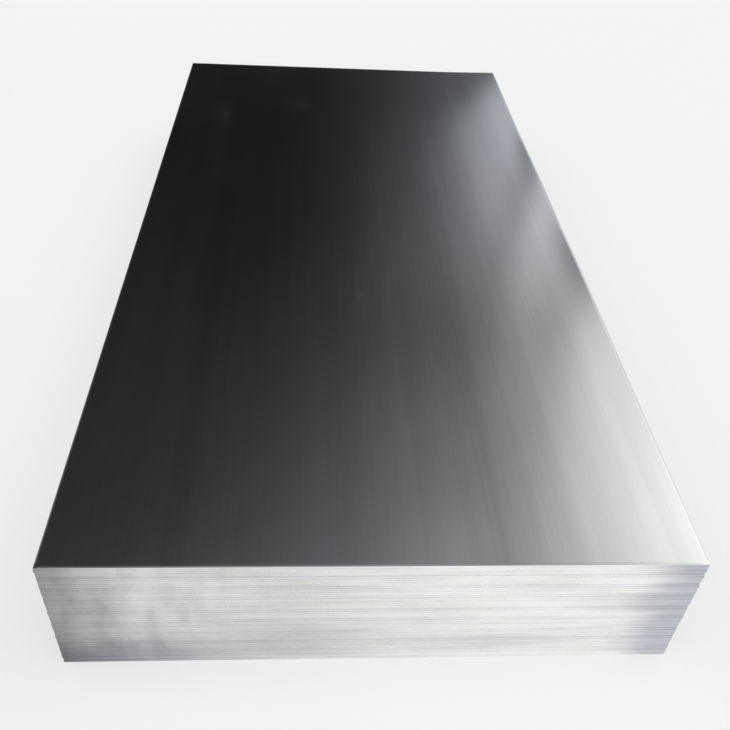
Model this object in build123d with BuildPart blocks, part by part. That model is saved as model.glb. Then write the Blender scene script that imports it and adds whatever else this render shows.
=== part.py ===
"""Stack of sheared steel plates, lying flat on each other as they come from the mill.

Every plate is a solid of its own. X runs across the stack, Y runs along it and Z is up.
The origin is the middle of the stack's underside. All lengths are in millimetres.
"""

import os

from build123d import *

# Driving dimensions: the plate as it is sold, and how many lie in the stack
plate_width = 1000.0
plate_length = 2000.0
plate_thickness = 5.0
plate_count = 50

# Sheared edge: the blade rolls the upper edge over, cuts a straight land and tears the rest off at a slant
roll_over_share = 0.1
land_share = 0.4
tear_angle = 4.0

# Greatest distance that a plate lies out of line, to the sides and to the ends
side_stagger = 0.8
end_stagger = 1.0

# Share of a turn from each plate to the next, irrational so that the shifts never repeat
side_turn_share = (5**0.5 - 1) / 2
end_turn_share = 2**0.5 - 1

roll_over_radius = roll_over_share * plate_thickness
land_height = land_share * plate_thickness
tear_height = plate_thickness - land_height


def scatter_share(level, turn_share):
    """Share of the stagger, from -1 to 1, for the plate at this level of the stack.

    Turning from plate to plate, counted from mid-height, spreads the plates evenly in a scattered
    order, as many to one side as to the other. The cube keeps most of them close to line.
    """
    middle_level = (plate_count - 1) / 2
    turn = ((level - middle_level) * turn_share + 0.5) % 1
    return (2 * turn - 1) ** 3


os.makedirs("parts", exist_ok=True)

for level in range(plate_count):
    land_foot = Plane(
        (
            side_stagger * scatter_share(level, side_turn_share),
            end_stagger * scatter_share(level, end_turn_share),
            level * plate_thickness + tear_height,
        )
    )

    with BuildPart() as plate:
        # Straight land from the sheared outline up to the top face, and the torn face from it down
        with BuildSketch(land_foot) as outline:
            Rectangle(plate_width, plate_length)
        extrude(amount=land_height)
        extrude(outline.sketch, amount=-tear_height, taper=tear_angle)

        # Roll-over all round the top face
        top_rim = plate.faces().sort_by(Axis.Z)[-1].edges()
        fillet(top_rim, roll_over_radius)

    plate.part.label = f"plate_{level + 1:02d}"
    export_step(plate.part, f"parts/{plate.part.label}.step")
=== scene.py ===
"""Looks of a stack of sheared steel plates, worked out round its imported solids.

Every plate is drawn again as one closed surface: a rolled face above and below, and round the rim the
section that a shear leaves. Towards their right side the plates rise in a few shallow swells, as plates
of one mill run do. All lengths are in metres, in the frame of the solids.
"""

import math

import bpy
import numpy as np
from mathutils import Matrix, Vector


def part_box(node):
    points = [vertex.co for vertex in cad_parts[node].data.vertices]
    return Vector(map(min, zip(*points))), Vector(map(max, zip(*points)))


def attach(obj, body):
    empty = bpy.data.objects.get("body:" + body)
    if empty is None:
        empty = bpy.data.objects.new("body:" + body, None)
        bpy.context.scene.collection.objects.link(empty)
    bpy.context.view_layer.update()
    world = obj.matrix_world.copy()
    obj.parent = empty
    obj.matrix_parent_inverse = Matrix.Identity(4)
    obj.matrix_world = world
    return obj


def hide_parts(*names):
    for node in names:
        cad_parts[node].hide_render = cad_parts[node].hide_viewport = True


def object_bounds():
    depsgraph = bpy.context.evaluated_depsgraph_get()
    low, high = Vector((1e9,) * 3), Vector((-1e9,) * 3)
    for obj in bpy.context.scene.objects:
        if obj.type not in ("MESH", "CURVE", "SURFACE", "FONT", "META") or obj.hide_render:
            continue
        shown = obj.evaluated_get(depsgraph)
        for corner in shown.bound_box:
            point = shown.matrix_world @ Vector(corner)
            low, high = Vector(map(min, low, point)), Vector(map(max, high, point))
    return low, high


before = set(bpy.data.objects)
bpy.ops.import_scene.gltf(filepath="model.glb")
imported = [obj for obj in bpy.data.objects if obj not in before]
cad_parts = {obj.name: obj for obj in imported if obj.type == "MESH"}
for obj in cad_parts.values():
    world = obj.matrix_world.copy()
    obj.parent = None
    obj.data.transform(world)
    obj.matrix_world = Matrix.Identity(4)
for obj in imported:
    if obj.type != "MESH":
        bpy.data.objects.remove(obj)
cad_low, cad_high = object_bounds()

MILLIMETRE = 0.001

# Plates from the lowest to the highest, and the grid that each is drawn on
plate_names = sorted(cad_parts)
top_level = len(plate_names) - 1
hidden_grid_step = 40 * MILLIMETRE
top_grid_step = 10 * MILLIMETRE

# Section of the sheared rim
roll_over_radius = 0.2 * MILLIMETRE
roll_over_turns = np.radians((0, 30, 60, 90))
land_foot_height = 3.0 * MILLIMETRE
tear_angle = math.radians(4)
burr_height = 0.15 * MILLIMETRE
burr_inset = 0.06 * MILLIMETRE
rim_support = 6 * MILLIMETRE
sharp_angle = math.radians(35)

# Two points down the torn part: their heights and setbacks as shares of its whole height and setback
upper_tear_height = 0.7
upper_tear_setback = 0.35
lower_tear_height = 0.35
lower_tear_setback = 0.7

# Unevenness of the section round the plate, and the sine waves that it is made of: how many there are,
# and how often each may go round, from the fewest to just under the limit
roll_over_unevenness = 0.25
land_foot_unevenness = 0.1
tear_unevenness = 0.3
tear_roughness = 0.25
wave_count = 24
fewest_rounds = 2
rounds_limit = 60

# Finishes by number, and the finish of each band of the section from the upper face to the lower one
ROLLED = 0
LAND = 1
TORN = 2
band_finishes = (ROLLED, LAND, LAND, LAND, LAND, TORN, TORN, TORN, TORN, ROLLED)

# Shallow swells along the right side: height, place along the plate, half length, inward lean, start
right_swells = (
    (3.5 * MILLIMETRE, 1.05, 0.22, 2.35, 0.05),
    (3.5 * MILLIMETRE, 0.255, 0.12, 2.65, 0.10),
    (3.5 * MILLIMETRE, -0.25, 0.15, 2.3, 0.085),
    (-2.5 * MILLIMETRE, 0.0, 0.40, -1.5, 0.28),
    (1.1 * MILLIMETRE, 0.43, 0.08, 1.8, 0.415),
    (3.1 * MILLIMETRE, -0.09, 0.31, -1.5, 0.38),
)
swell_full = 0.5
swell_power = 3

# Rolled face: noise of its rolling lines, oil film and smudges, in waves per metre along each axis
fine_line_noise = {"waves": (420.0, 1.6, 1.0), "detail": 4.0, "roughness": 0.6}
broad_line_noise = {"waves": (26.0, 0.5, 1.0), "detail": 3.0}
oil_film_noise = {"waves": (5.0, 2.6, 1.0), "detail": 5.0, "roughness": 0.55}
smudge_noise = {"waves": (60.0, 22.0, 1.0), "detail": 4.0}

# Rolled face: its colour, and what the noise does to tone, roughness and relief
rolled_colour = (0.668, 0.672, 0.694)
fine_line_tones = (0.94, 1.06)
broad_line_tones = (0.86, 1.14)
oil_film_tones = (0.92, 1.08)
fine_line_roughness = (0.07, 0.12)
oil_film_roughness = (0.0, 0.05)
fine_line_relief = 0.04
fine_line_depth = 0.2 * MILLIMETRE
gloss_spread = 0.3

# Oil smudges on the rolled faces, each with its centre and its reach across and along the plate
smudge_roughness = 0.05
smudge_limits = (0.35, 0.65)
oil_smudges = (
    ((-0.36, 0.59, 0.0), (0.06, 0.12, math.inf)),
    ((-0.15, 0.69, 0.0), (0.07, 0.10, math.inf)),
    ((-0.01, -0.31, 0.0), (0.06, 0.18, math.inf)),
)

# Sheared rim: noise of its streaks, its broad dull places, its blots and its handling marks
streak_noise = {"waves": (6.0, 6.0, 75.0), "detail": 3.0}
dull_place_noise = {"waves": (5.0, 5.0, 16.0), "detail": 4.0}
blot_noise = {"waves": (10.0, 10.0, 16.0), "detail": 4.0}
mark_noise = {"waves": (27.0, 27.0, 10.0), "detail": 2.0}

# Sheared rim: tones of single plates, streaks and dull places, and of the sides away from the front end
plate_tones = (0.97, 1.03)
streak_tones = (0.80, 1.20)
dull_place_tones = (0.87, 1.14)
aged_side_reach = (0.0, 0.14)
aged_side_tone = 0.66

# Painted shade of the front corners, darkest at the left one and lowest down there: the way round from the
# corner over which each fades, and the tone it leaves. Noise shifts the lines of the low painted shade and
# of the right painted shade, and picks out the handling marks, which are real marks.
# Painted shade at the left front corner, darkest close to it, and wider, lighter painted shade round from
# it
left_painted_shade_reach = (-0.02, 0.14)
left_painted_shade_tone = 0.45
left_wide_painted_shade_reach = (0.25, 0.7)
left_wide_painted_shade_tone = 0.80
# Painted shade at the right end of the front
right_painted_shade_reach = (0.12, 0.02)
right_painted_shade_tone = 0.68
right_painted_shade_streaks = (-0.025, 0.025)
right_painted_shade_blots = (-0.03, 0.03)
# Painted shade low on the left end, over the lowest plates
low_painted_shade_reach = (0.4, 0.05)
low_painted_shade_heights = (0.12, 0.0)
low_painted_shade_blots = (-0.05, 0.05)
low_painted_shade_tone = 0.55
handling_reach = (0.4, 0.1)
handling_limits = (0.4, 0.75)
handling_tone = 0.82

# Painted shade in patches on the front end, each with its centre, its reach along the axes and the tone
# left there
painted_shade_patches = (
    ((-0.405, -1.0, 0.14), (0.05, 0.5, 0.22), 0.85),
    ((-0.12, -1.0, 0.055), (0.17, 0.5, 0.085), 0.83),
    ((0.17, -1.0, 0.048), (0.34, 0.5, 0.04), 0.85),
)

# Tints of the rim: warm elsewhere, cool in the painted shade at the right end and low on the left, and in
# blots
warm_tint = (1.0, 0.995, 0.972, 1.0)
cool_tint = (0.906, 0.938, 1.0, 1.0)
cool_blot_limits = (0.45, 0.75)
cool_blot_share = 0.4

# Burnished land: its upright scores, and what they do to tone, roughness and relief
land_noise = {"waves": (1400.0, 1400.0, 90.0), "detail": 2.0}
land_tones = (0.94, 1.0)
land_roughness = (0.2, 0.32)
land_relief = 0.08
land_depth = 0.2 * MILLIMETRE

# Torn part: its crystals, and what they do to tone, roughness and relief
torn_noise = {"waves": (1500.0, 1500.0, 900.0), "detail": 3.0, "roughness": 0.7}
torn_tones = (0.91, 0.99)
torn_roughness = (0.3, 0.45)
torn_relief = 0.15
torn_depth = 0.3 * MILLIMETRE

# Camera: where it stands, where it looks, and the lens on a 36 mm sensor
camera_place = (-0.110, -1.731, 1.249)
camera_yaw = math.radians(5.15)
camera_pitch = math.radians(39.85)
camera_roll = math.radians(3.94)
camera_lens = 40.48
camera_sensor = 36.0

# Studio floor: its paint, and the share and strength of the plain glow in its look
floor_reach = 60.0
floor_tone = 0.9
floor_glow_share = 0.5
floor_glow = 1.04

# Dome by the direction's Z: pale at the horizon, grey low down, bright higher up, softer again overhead
horizon_tone = 0.9
low_dome_tone = 0.48
high_dome_tone = 1.3
overhead_tone = 0.9
horizon_heights = (0.16, 0.34)
rising_heights = (0.38, 0.82)
overhead_heights = (0.92, 0.985)

# Window of the dome behind the stack, by the direction's Y, its angle to the side and its Z
window_depths = (0.15, 0.45)
window_left_angles = (math.radians(-52), math.radians(-28))
window_right_angles = (math.radians(52), math.radians(34))
window_heights = (0.16, 0.27)

# Dark screen in the window, with a wide soft edge to its right
far_screen_tone = 0.0105
near_screen_tone = 0.0255
screen_depths = (0.93, 0.7)
soft_edge_tone = 0.328
soft_edge_angles = (math.radians(-100.0), math.radians(-19.4))
soft_edge_lean = math.radians(74.7)
soft_edge_power = 4.19

# Bright panel in the window, to the right of the screen
panel_tone = 0.53
panel_angles = (math.radians(15.2), math.radians(36.0))
panel_end_depths = (0.92, 0.90)
panel_gain_depths = (0.8, 0.56)
panel_near_gain = 2.2

# Soft patches of the window, each with its angle to the side and its Y, its reach in both, and its gain
window_patches = (
    ((math.radians(13), 0.868, 0.0), (math.radians(11), 0.07, math.inf), 1.32),
    ((math.radians(16), 0.773, 0.0), (math.radians(16), 0.055, math.inf), 0.80),
    ((math.radians(20), 0.935, 0.0), (math.radians(11), 0.022, math.inf), 0.68),
    ((math.radians(31), 0.893, 0.0), (math.radians(10), 0.06, math.inf), 0.90),
    ((math.radians(12.5), 0.59, 0.0), (math.radians(7), 0.07, math.inf), 1.22),
)

# Colours of the light, and where those of the window pass into each other
dome_light = (1.0, 1.0, 1.0, 1.0)
screen_light = (1.044, 1.0, 1.055, 1.0)
far_panel_light = (0.948, 1.0, 1.055, 1.0)
middle_panel_light = (0.998, 1.0, 1.05, 1.0)
near_panel_light = (1.006, 1.0, 0.954, 1.0)
far_light_depths = (0.84, 0.91)
near_light_depths = (0.73, 0.87)
panel_light_angles = (0.0, math.radians(24))


# Node helpers

def add_node(tree, kind, inputs=None, **settings):
    """One node with its settings made, and each named input linked to a socket or set to a value."""
    made = tree.nodes.new(kind)
    for setting, value in settings.items():
        setattr(made, setting, value)
    for name, value in (inputs or {}).items():
        if isinstance(value, bpy.types.NodeSocket):
            tree.links.new(value, made.inputs[name])
        else:
            made.inputs[name].default_value = value
    return made


def calculate(tree, operation, first, second=0.0):
    """Result of one Math node."""
    return add_node(tree, "ShaderNodeMath", {0: first, 1: second}, operation=operation).outputs[0]


def product(tree, first, *others):
    """All the values multiplied together."""
    total = first
    for other in others:
        total = calculate(tree, "MULTIPLY", total, other)
    return total


def ease(tree, value, start, end, low=0.0, high=1.0):
    """Smooth step from low at start to high at end."""
    limits = {"Value": value, "From Min": start, "From Max": end, "To Min": low, "To Max": high}
    return add_node(tree, "ShaderNodeMapRange", limits, interpolation_type="SMOOTHSTEP").outputs["Result"]


def stretch(tree, value, low, high):
    """Straight line that takes 0 to low and 1 to high, with no limit."""
    limits = {"Value": value, "From Min": 0.0, "From Max": 1.0, "To Min": low, "To Max": high}
    return add_node(tree, "ShaderNodeMapRange", limits, clamp=False).outputs["Result"]


def grain(tree, coordinates, waves, detail, roughness=0.5):
    """Noise from 0 to 1, with its own number of waves per metre along each axis."""
    placed = add_node(tree, "ShaderNodeMapping", {"Vector": coordinates, "Scale": waves})
    noise = {"Vector": placed.outputs["Vector"], "Scale": 1.0, "Detail": detail, "Roughness": roughness}
    return add_node(tree, "ShaderNodeTexNoise", noise).outputs["Fac"]


def nearness(tree, place, centre, reach):
    """Share of a soft patch at a place: 1 at its centre, easing to 0 at its reach along each axis.

    An endless reach leaves that axis out.
    """
    scale = [1 / length for length in reach]
    shift = [-middle / length for middle, length in zip(centre, reach)]
    placed = add_node(tree, "ShaderNodeMapping", {"Vector": place, "Scale": scale, "Location": shift})
    distance = add_node(tree, "ShaderNodeVectorMath", {0: placed.outputs["Vector"]}, operation="LENGTH")
    return ease(tree, distance.outputs["Value"], 1.0, 0.0)


def blend_colours(tree, share, first, second):
    """Colour between first and second."""
    made = add_node(tree, "ShaderNodeMix", data_type="RGBA")
    share_socket, first_socket, second_socket = made.inputs[0], made.inputs[6], made.inputs[7]
    for socket, value in ((share_socket, share), (first_socket, first), (second_socket, second)):
        if isinstance(value, bpy.types.NodeSocket):
            tree.links.new(value, socket)
        else:
            socket.default_value = value
    return made.outputs[2]


def shade_colour(tree, colour, tone):
    """Colour times a single tone."""
    inputs = {0: colour, "Scale": tone}
    return add_node(tree, "ShaderNodeVectorMath", inputs, operation="SCALE").outputs["Vector"]


def new_finish(name):
    """Empty material with its shader, as material, node tree and shader."""
    finish = bpy.data.materials.new(name)
    finish.use_nodes = True
    return finish, finish.node_tree, finish.node_tree.nodes["Principled BSDF"]


def add_relief(tree, shader, height, strength, depth):
    """Fine relief on a shader, from a height between 0 and 1."""
    relief = add_node(tree, "ShaderNodeBump", {"Strength": strength, "Distance": depth, "Height": height})
    tree.links.new(relief.outputs["Normal"], shader.inputs["Normal"])


# Finishes

def make_rolled_finish():
    """Cold-rolled face: satin steel with lines along the rolling direction and a thin, cloudy oil film."""
    finish, tree, shader = new_finish("rolled_face_steel")
    place = add_node(tree, "ShaderNodeTexCoord").outputs["Object"]
    fine_lines = grain(tree, place, **fine_line_noise)
    broad_lines = grain(tree, place, **broad_line_noise)
    oil_film = grain(tree, place, **oil_film_noise)

    broad_tone = stretch(tree, broad_lines, *broad_line_tones)
    film_tone = stretch(tree, oil_film, *oil_film_tones)
    fine_tone = stretch(tree, fine_lines, *fine_line_tones)
    colour = shade_colour(tree, rolled_colour, product(tree, broad_tone, film_tone, fine_tone))
    tree.links.new(colour, shader.inputs["Base Color"])

    line_roughness = stretch(tree, fine_lines, *fine_line_roughness)
    film_roughness = stretch(tree, oil_film, *oil_film_roughness)
    roughness = calculate(tree, "ADD", line_roughness, film_roughness)
    patches = ease(tree, grain(tree, place, **smudge_noise), *smudge_limits)
    for centre, reach in oil_smudges:
        smudge = product(tree, nearness(tree, place, centre, reach), patches, smudge_roughness)
        roughness = calculate(tree, "ADD", roughness, smudge)
    tree.links.new(roughness, shader.inputs["Roughness"])

    add_relief(tree, shader, fine_lines, fine_line_relief, fine_line_depth)
    across = add_node(tree, "ShaderNodeTangent", direction_type="UV_MAP", uv_map="rolling")
    tree.links.new(across.outputs["Tangent"], shader.inputs["Tangent"])
    shader.inputs["Metallic"].default_value = 1.0
    shader.inputs["Anisotropic"].default_value = gloss_spread
    return finish


def rim_colour(tree, place, steel_tone):
    """Colour along the rim, built on the given tone of the steel.

    Each plate differs a little, with streaks along it and broad dull places. The front end is freshly
    sheared and the other sides are duller. Painted shade darkens the two front corners, most of all the
    left one, where it is darkest over the lowest plates, and patches of the front end. The painted shade
    at the right end and low on the left is cool. Handling marks darken the left end a little.
    """
    number = add_node(tree, "ShaderNodeAttribute", attribute_name="plate_number").outputs["Fac"]
    lottery = add_node(tree, "ShaderNodeTexWhiteNoise", {"W": number}, noise_dimensions="1D")
    streaks = grain(tree, place, **streak_noise)
    dull_places = grain(tree, place, **dull_place_noise)
    blots = grain(tree, place, **blot_noise)
    marks = grain(tree, place, **mark_noise)

    # Way round the rim from each front corner
    parts = add_node(tree, "ShaderNodeSeparateXYZ", {"Vector": place}).outputs
    from_front = calculate(tree, "SUBTRACT", parts["Y"], float(cad_low[1]))
    from_left = calculate(tree, "SUBTRACT", parts["X"], float(cad_low[0]))
    from_right = calculate(tree, "SUBTRACT", float(cad_high[0]), parts["X"])
    left_way = calculate(tree, "ADD", from_left, from_front)
    right_way = calculate(tree, "ADD", from_right, from_front)

    # Painted shade, handling marks and aged sides, from 0 where there is none to 1
    # Painted shade low on the left end, over the lowest plates, with a blotted upper line
    low_painted_shade_line = calculate(tree, "ADD", parts["Z"], stretch(tree, blots, *low_painted_shade_blots))
    low_painted_shade = product(tree, ease(tree, low_painted_shade_line, *low_painted_shade_heights), ease(tree, left_way, *low_painted_shade_reach))
    # Painted shade at the right end, with a streaked and blotted inner line
    right_painted_shade_line = calculate(tree, "ADD", right_way, stretch(tree, streaks, *right_painted_shade_streaks))
    right_painted_shade_line = calculate(tree, "ADD", right_painted_shade_line, stretch(tree, blots, *right_painted_shade_blots))
    right_painted_shade = ease(tree, right_painted_shade_line, *right_painted_shade_reach)
    handled = product(tree, ease(tree, marks, *handling_limits), ease(tree, left_way, *handling_reach))
    aged_side = ease(tree, from_front, *aged_side_reach)

    tones = [
        stretch(tree, lottery.outputs["Value"], *plate_tones),
        stretch(tree, streaks, *streak_tones),
        stretch(tree, dull_places, *dull_place_tones),
        # Painted shade round the left front corner
        ease(tree, left_way, *left_painted_shade_reach, low=left_painted_shade_tone),
        ease(tree, left_way, *left_wide_painted_shade_reach, low=left_wide_painted_shade_tone),
        # Painted shade at the right end
        stretch(tree, right_painted_shade, 1.0, right_painted_shade_tone),
        # Painted shade low on the left end
        stretch(tree, low_painted_shade, 1.0, low_painted_shade_tone),
        stretch(tree, handled, 1.0, handling_tone),
        stretch(tree, aged_side, 1.0, aged_side_tone),
    ]
    # Painted shade in patches on the front end
    for centre, reach, tone_left in painted_shade_patches:
        tones.append(stretch(tree, nearness(tree, place, centre, reach), 1.0, tone_left))
    tone = product(tree, steel_tone, *tones)

    cool_blots = ease(tree, blots, *cool_blot_limits, high=cool_blot_share)
    # The painted shade at the right end and low on the left takes the cool tint
    cool_painted_shade = calculate(tree, "MAXIMUM", low_painted_shade, right_painted_shade)
    coolness = calculate(tree, "MAXIMUM", cool_painted_shade, cool_blots)
    return shade_colour(tree, blend_colours(tree, coolness, warm_tint, cool_tint), tone)


def make_rim_finish(name, noise, tones, roughness, relief, depth):
    """Finish of one part of the sheared rim: a fine noise sets its tone, its roughness and its relief."""
    finish, tree, shader = new_finish(name)
    place = add_node(tree, "ShaderNodeTexCoord").outputs["Object"]
    texture = grain(tree, place, **noise)
    colour = rim_colour(tree, place, stretch(tree, texture, *tones))
    tree.links.new(colour, shader.inputs["Base Color"])
    tree.links.new(stretch(tree, texture, *roughness), shader.inputs["Roughness"])
    add_relief(tree, shader, texture, relief, depth)
    shader.inputs["Metallic"].default_value = 1.0
    return finish


# Plates

def edge_swell(across, along):
    """Height of the swells along the right side.

    Each swell is a bell curve along the plate whose place leans with the distance from the side. It grows
    with a power of the way from its inner start, where it is 0, to the right side. The swells add up.
    """
    total = np.zeros_like(across)
    for swell_height, place, half_length, lean, start in right_swells:
        growth = np.clip((across - start) / (swell_full - start), 0, 1) ** swell_power
        way = (along - place - lean * (across - swell_full)) / half_length
        total += swell_height * growth * np.exp(-way * way / 2)
    return total


def wander(round_share, random):
    """Smooth unevenness round a rim, about -1 to 1.

    A sum of sine waves, each a random whole number of times round the rim with a random phase.
    """
    rounds = random.integers(fewest_rounds, rounds_limit, wave_count)[:, None]
    phase = random.uniform(0, 2 * np.pi, wave_count)[:, None]
    total = np.sin(2 * np.pi * rounds * round_share + phase).sum(axis=0)
    return np.clip(total * math.sqrt(2 / wave_count) / 2, -1, 1)


def sheared_section(round_share, thickness, random):
    """Section of the rim, as its inset from the outline and its height, with a column for each place.

    From the upper face the section follows a quarter circle, drops straight down the land, leans inwards
    down the torn part and turns under at a small burr. The circle's radius, the land's foot and the lean
    all wander round the rim.
    """
    radius = roll_over_radius * (1 + roll_over_unevenness * wander(round_share, random))
    foot = land_foot_height * (1 + land_foot_unevenness * wander(round_share, random))
    setback = foot * math.tan(tear_angle) * (1 + tear_unevenness * wander(round_share, random))
    roughness = tear_roughness * wander(round_share, random)
    flat = np.zeros_like(round_share)
    turns = roll_over_turns[:, None]
    inset = np.vstack([
        flat + rim_support,
        radius * (1 - np.sin(turns)),
        flat,
        setback * (upper_tear_setback + roughness),
        setback * (lower_tear_setback - roughness),
        setback,
        setback + burr_inset,
        flat + rim_support,
    ])
    height = np.vstack([
        flat + thickness,
        thickness - radius * (1 - np.cos(turns)),
        foot,
        foot * upper_tear_height,
        foot * lower_tear_height,
        flat + burr_height,
        flat,
        flat,
    ])
    return inset, height


def rim_of_grid(columns, rows):
    """Column and row of the grid's outer places, anticlockwise from the front left corner."""
    rightwards = np.arange(columns)
    backwards = np.arange(rows)
    first_row = np.zeros(columns, int)
    last_column = np.full(rows, columns)
    last_row = np.full(columns, rows)
    first_column = np.zeros(rows, int)
    column = np.concatenate([rightwards, last_column, columns - rightwards, first_column])
    row = np.concatenate([first_row, backwards, last_row, rows - backwards])
    return column, row


def plate_points(low, high, level, columns, rows):
    """Vertices of one plate: its upper grid, its lower grid, then the rings of the section between them.

    A ring is the plate's outline, inset from it and set at a height as the section says at each place.
    The swells lift it all, from not at all on the lowest plate to their full height on the highest.
    """
    random = np.random.default_rng(level)
    middle = (low + high) / 2
    half = (high - low) / 2
    thickness = high[2] - low[2]
    share_across = np.linspace(-1, 1, columns + 1)
    share_along = np.linspace(-1, 1, rows + 1)

    rim_column, rim_row = rim_of_grid(columns, rows)
    round_share = np.arange(len(rim_column)) / len(rim_column)
    inset, height = sheared_section(round_share, thickness, random)
    ring_x = middle[0] + (half[0] - inset) * share_across[rim_column]
    ring_y = middle[1] + (half[1] - inset) * share_along[rim_row]
    rings = np.stack([ring_x, ring_y, low[2] + height], axis=-1)

    grid_across, grid_along = np.meshgrid(share_across, share_along)
    grid_x = middle[0] + (half[0] - rim_support) * grid_across
    grid_y = middle[1] + (half[1] - rim_support) * grid_along
    upper = np.stack([grid_x, grid_y, np.full_like(grid_x, high[2])], axis=-1)
    lower = np.stack([grid_x, grid_y, np.full_like(grid_x, low[2])], axis=-1)
    points = np.vstack([part.reshape(-1, 3) for part in (upper, lower, rings[1:-1])])
    points[:, 2] += edge_swell(points[:, 0], points[:, 1]) * level / top_level
    return points


def plate_faces(columns, rows):
    """Four-sided faces of one plate, by the numbers of its vertices, and the finish of each face.

    The upper and the lower grid come first. Then bands of faces run round the rim, between each ring of
    the section and the next, from the outer places of the upper grid to those of the lower one.
    """
    numbers = np.arange((columns + 1) * (rows + 1)).reshape(rows + 1, columns + 1)
    corners = (numbers[:-1, :-1], numbers[:-1, 1:], numbers[1:, 1:], numbers[1:, :-1])
    upper_faces = np.stack([corner.ravel() for corner in corners], axis=-1)
    lower_faces = upper_faces[:, ::-1] + numbers.size

    rim_column, rim_row = rim_of_grid(columns, rows)
    rim_numbers = numbers[rim_row, rim_column]
    rim_count = len(rim_numbers)
    ring_count = len(band_finishes) - 1
    rings = 2 * numbers.size + np.arange(ring_count * rim_count).reshape(ring_count, rim_count)
    ladder = np.vstack([rim_numbers, rings, rim_numbers + numbers.size])
    onward = np.roll(ladder, -1, axis=1)
    bands = np.stack([ladder[:-1], ladder[1:], onward[1:], onward[:-1]], axis=-1)
    faces = np.vstack([upper_faces, lower_faces, bands.reshape(-1, 4)])

    grid_finishes = np.full(2 * len(upper_faces), ROLLED)
    finishes = np.concatenate([grid_finishes, np.repeat(band_finishes, rim_count)])
    return faces, finishes


def add_plate(name, node, level, grid_step, steel):
    """Mesh object of one plate, riding on the only body in place of its solid."""
    low, high = (np.array(corner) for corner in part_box(node))
    columns, rows = (round(side / grid_step) for side in (high - low)[:2])
    points = plate_points(low, high, level, columns, rows)
    faces, finishes = plate_faces(columns, rows)
    mesh = bpy.data.meshes.new(name)
    mesh.vertices.add(len(points))
    mesh.vertices.foreach_set("co", points.ravel())
    mesh.loops.add(faces.size)
    mesh.loops.foreach_set("vertex_index", faces.ravel())
    mesh.polygons.add(len(faces))
    mesh.polygons.foreach_set("loop_start", np.arange(len(faces)) * faces.shape[1])
    for finish in steel:
        mesh.materials.append(finish)
    mesh.polygons.foreach_set("material_index", finishes)
    mesh.update(calc_edges=True)

    # The map runs across the plate first, so that the gloss spreads across the rolling lines
    rolling = mesh.uv_layers.new(name="rolling")
    rolling.uv.foreach_set("vector", points[faces.ravel(), :2].ravel())
    numbers = mesh.attributes.new("plate_number", "FLOAT", "POINT")
    numbers.data.foreach_set("value", np.full(len(points), level + 1.0))
    mesh.shade_smooth()
    mesh.set_sharp_from_angle(angle=sharp_angle)

    plate = bpy.data.objects.new(name, mesh)
    bpy.context.scene.collection.objects.link(plate)
    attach(plate, "root")
    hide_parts(node)


# Studio

def make_floor():
    """Wide pale floor under the stack.

    What the camera and the steel see of it is a share of plain pale glow over the lit paint, so that it
    stays pale and keeps a faint shadow. It sends no more light than the paint does.
    """
    corners = floor_reach * np.array([(-1, -1, 0), (1, -1, 0), (1, 1, 0), (-1, 1, 0)], float)
    mesh = bpy.data.meshes.new("floor")
    mesh.from_pydata(corners.tolist(), [], [(0, 1, 2, 3)])
    paint, tree, shader = new_finish("floor_paint")
    shader.inputs["Base Color"].default_value = (floor_tone, floor_tone, floor_tone, 1.0)
    shader.inputs["Roughness"].default_value = 1.0
    shader.inputs["Specular IOR Level"].default_value = 0.0
    rays = add_node(tree, "ShaderNodeLightPath").outputs
    seen = calculate(tree, "MAXIMUM", rays["Is Camera Ray"], rays["Is Glossy Ray"])
    seen = calculate(tree, "MAXIMUM", seen, rays["Is Transmission Ray"])
    share = calculate(tree, "MULTIPLY", seen, floor_glow_share)
    glow = add_node(tree, "ShaderNodeEmission", {"Strength": floor_glow})
    layers = {0: share, 1: shader.outputs["BSDF"], 2: glow.outputs["Emission"]}
    look = add_node(tree, "ShaderNodeMixShader", layers)
    tree.links.new(look.outputs["Shader"], tree.nodes["Material Output"].inputs["Surface"])
    mesh.materials.append(paint)
    floor = bpy.data.objects.new("floor", mesh)
    bpy.context.scene.collection.objects.link(floor)


def window_tone(tree, sideways, depth):
    """Strength of the light in the window: the dark screen plus the bright panel, times the soft patches.

    The screen ends to the right along a wide soft edge, which is set by the angle to the side and leans
    with the direction's Y. The panel begins right of the stack, stops short of the horizon and is brighter
    overhead than low down.
    """
    leaning = calculate(tree, "MULTIPLY", depth, soft_edge_lean)
    from_edge = calculate(tree, "SUBTRACT", sideways, leaning)
    soft_edge = calculate(tree, "POWER", ease(tree, from_edge, *soft_edge_angles), soft_edge_power)
    screen_tone = ease(tree, depth, *screen_depths, low=far_screen_tone, high=near_screen_tone)
    screen = stretch(tree, soft_edge, screen_tone, soft_edge_tone)

    panel_side = ease(tree, sideways, *panel_angles, high=panel_tone)
    panel_end = ease(tree, depth, *panel_end_depths)
    panel_gain = ease(tree, depth, *panel_gain_depths, low=1.0, high=panel_near_gain)
    tone = calculate(tree, "ADD", screen, product(tree, panel_side, panel_end, panel_gain))

    place = add_node(tree, "ShaderNodeCombineXYZ", {"X": sideways, "Y": depth}).outputs["Vector"]
    for centre, reach, gain in window_patches:
        tone = product(tree, tone, stretch(tree, nearness(tree, place, centre, reach), 1.0, gain))
    return tone


def window_colour(tree, sideways, depth):
    """Colour of the light in the window: the screen's to the left, and the panel's to the right."""
    far_share = ease(tree, depth, *far_light_depths)
    beyond_near = ease(tree, depth, *near_light_depths)
    right_share = ease(tree, sideways, *panel_light_angles)
    far_light = blend_colours(tree, far_share, middle_panel_light, far_panel_light)
    panel_light = blend_colours(tree, beyond_near, near_panel_light, far_light)
    return blend_colours(tree, right_share, screen_light, panel_light)


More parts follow.
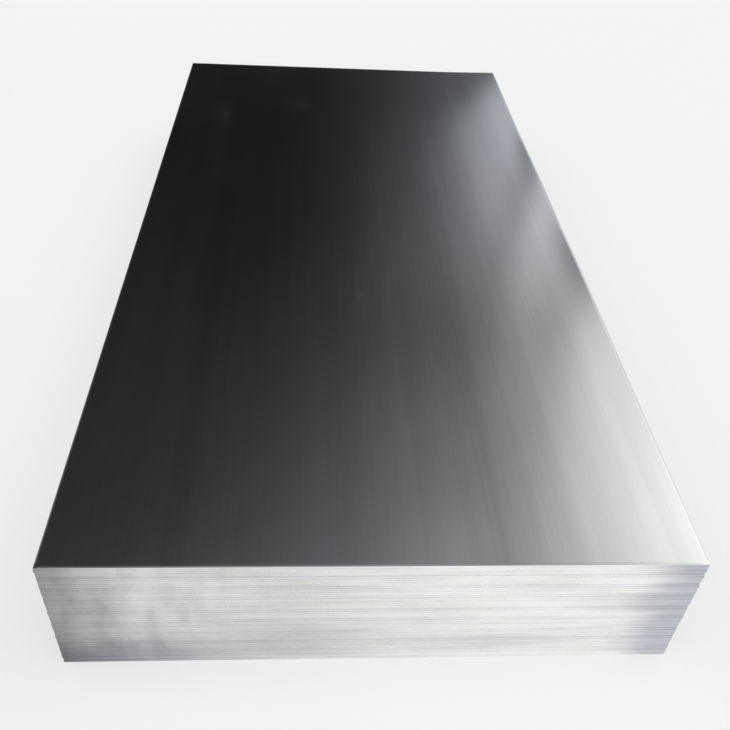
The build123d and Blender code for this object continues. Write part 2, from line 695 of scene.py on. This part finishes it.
def make_studio_light():
    """Soft dome with a window behind the stack, which the top face mirrors.

    The angle to the side is the direction's angle about the Y axis, and its depth is its Y. Near the
    horizon all takes the floor's tone.
    """
    world = bpy.data.worlds.new("studio_dome")
    world.use_nodes = True
    tree = world.node_tree
    direction = add_node(tree, "ShaderNodeTexCoord").outputs["Generated"]
    parts = add_node(tree, "ShaderNodeSeparateXYZ", {"Vector": direction}).outputs
    depth = parts["Y"]
    height = parts["Z"]
    sideways = calculate(tree, "ARCTAN2", parts["X"], height)

    rising = ease(tree, height, *rising_heights, low=low_dome_tone, high=high_dome_tone)
    falling = ease(tree, height, *overhead_heights, high=high_dome_tone - overhead_tone)
    dome_tone = calculate(tree, "SUBTRACT", rising, falling)

    behind = ease(tree, depth, *window_depths)
    inside_left = ease(tree, sideways, *window_left_angles)
    inside_right = ease(tree, sideways, *window_right_angles)
    window = product(tree, behind, inside_left, inside_right)
    lit = stretch(tree, window, dome_tone, window_tone(tree, sideways, depth))
    above_horizon = ease(tree, height, *horizon_heights)
    above_sill = ease(tree, height, *window_heights)
    above = stretch(tree, window, above_horizon, above_sill)
    strength = stretch(tree, above, horizon_tone, lit)

    share = calculate(tree, "MULTIPLY", window, above)
    colour = blend_colours(tree, share, dome_light, window_colour(tree, sideways, depth))
    background = tree.nodes["Background"]
    tree.links.new(colour, background.inputs["Color"])
    tree.links.new(strength, background.inputs["Strength"])
    bpy.context.scene.world = world


def make_camera():
    """Camera at the place and turn that the edges of the stack give."""
    forward = np.array([
        math.sin(camera_yaw) * math.cos(camera_pitch),
        math.cos(camera_yaw) * math.cos(camera_pitch),
        -math.sin(camera_pitch),
    ])
    level_right = np.array([math.cos(camera_yaw), -math.sin(camera_yaw), 0.0])
    level_up = np.cross(level_right, forward)
    right = level_right * math.cos(camera_roll) + level_up * math.sin(camera_roll)
    up = level_up * math.cos(camera_roll) - level_right * math.sin(camera_roll)
    turn = np.identity(4)
    turn[:3, :3] = np.column_stack([right, up, -forward])
    turn[:3, 3] = camera_place
    lens = bpy.data.cameras.new("camera")
    lens.sensor_width = camera_sensor
    lens.lens = camera_lens
    camera = bpy.data.objects.new("camera", lens)
    bpy.context.scene.collection.objects.link(camera)
    camera.matrix_world = turn.T.tolist()
    bpy.context.scene.camera = camera


bpy.context.scene.view_settings.view_transform = "Standard"
steel = (
    make_rolled_finish(),
    make_rim_finish("sheared_land_steel", land_noise, land_tones, land_roughness, land_relief, land_depth),
    make_rim_finish("torn_edge_steel", torn_noise, torn_tones, torn_roughness, torn_relief, torn_depth),
)
for level, node in enumerate(plate_names):
    step = top_grid_step if level == top_level else hidden_grid_step
    add_plate(f"sheared_{node}", node, level, step, steel)
make_floor()
make_studio_light()
make_camera()
